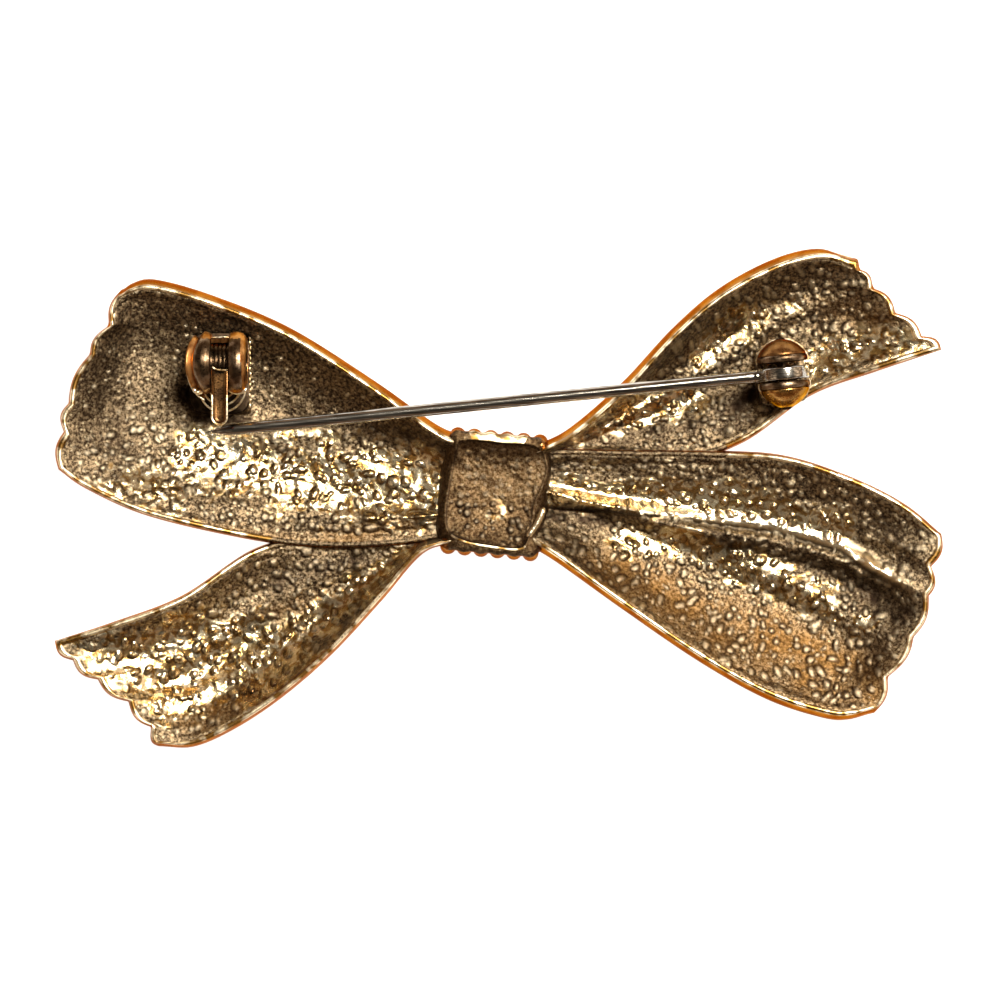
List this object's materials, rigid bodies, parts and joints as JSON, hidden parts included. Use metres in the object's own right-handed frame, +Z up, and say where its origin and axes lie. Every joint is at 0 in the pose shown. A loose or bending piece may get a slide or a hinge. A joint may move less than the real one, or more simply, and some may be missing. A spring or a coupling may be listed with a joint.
{
  "type": "bow brooch",
  "caption": "Hollow-backed cast bow brooch with ribbon loops, tails and a knot, a hinged steel pin and a barrel catch with a turning thumb lever.",
  "frame": {"origin": "middle of the bounding box, on the surface that the face-down brooch lies on", "axes": "+X along the bow from the catch to the hinge, +Y across the bow towards the catch and the hinge, +Z up out of the hollow back"},
  "size_m": [0.0646, 0.0363, 0.0083],
  "materials": {
    "gold_casting": "gold plated, tarnished in the hollows",
    "catch_plate": "polished dark gold",
    "lever_bronze": "polished dark bronze",
    "hinge_gold": "polished gold",
    "rivet_metal": "plain",
    "pin_steel": "drawn wire"
  },
  "bodies": {
    "brooch": {"bow_casting": "gold_casting", "catch_housing": "catch_plate", "hinge_bracket": "hinge_gold", "hinge_rivet": "rivet_metal"},
    "pin": {"pin_stem": "pin_steel"},
    "lever": {"catch_lever": "lever_bronze"}
  },
  "joints": [
    {"name": "pin_swing", "type": "hinge", "parent": "brooch", "child": "pin", "pos_m": [0.0206, 0.009, 0.00605], "axis": [-0.1011, 0.9949, 0], "range_deg": [0, 100]},
    {"name": "lever_turn", "type": "hinge", "parent": "brooch", "child": "lever", "pos_m": [-0.02, 0.00975, 0.00605], "axis": [-1, 0, 0], "range_deg": [0, 80]}
  ]
}
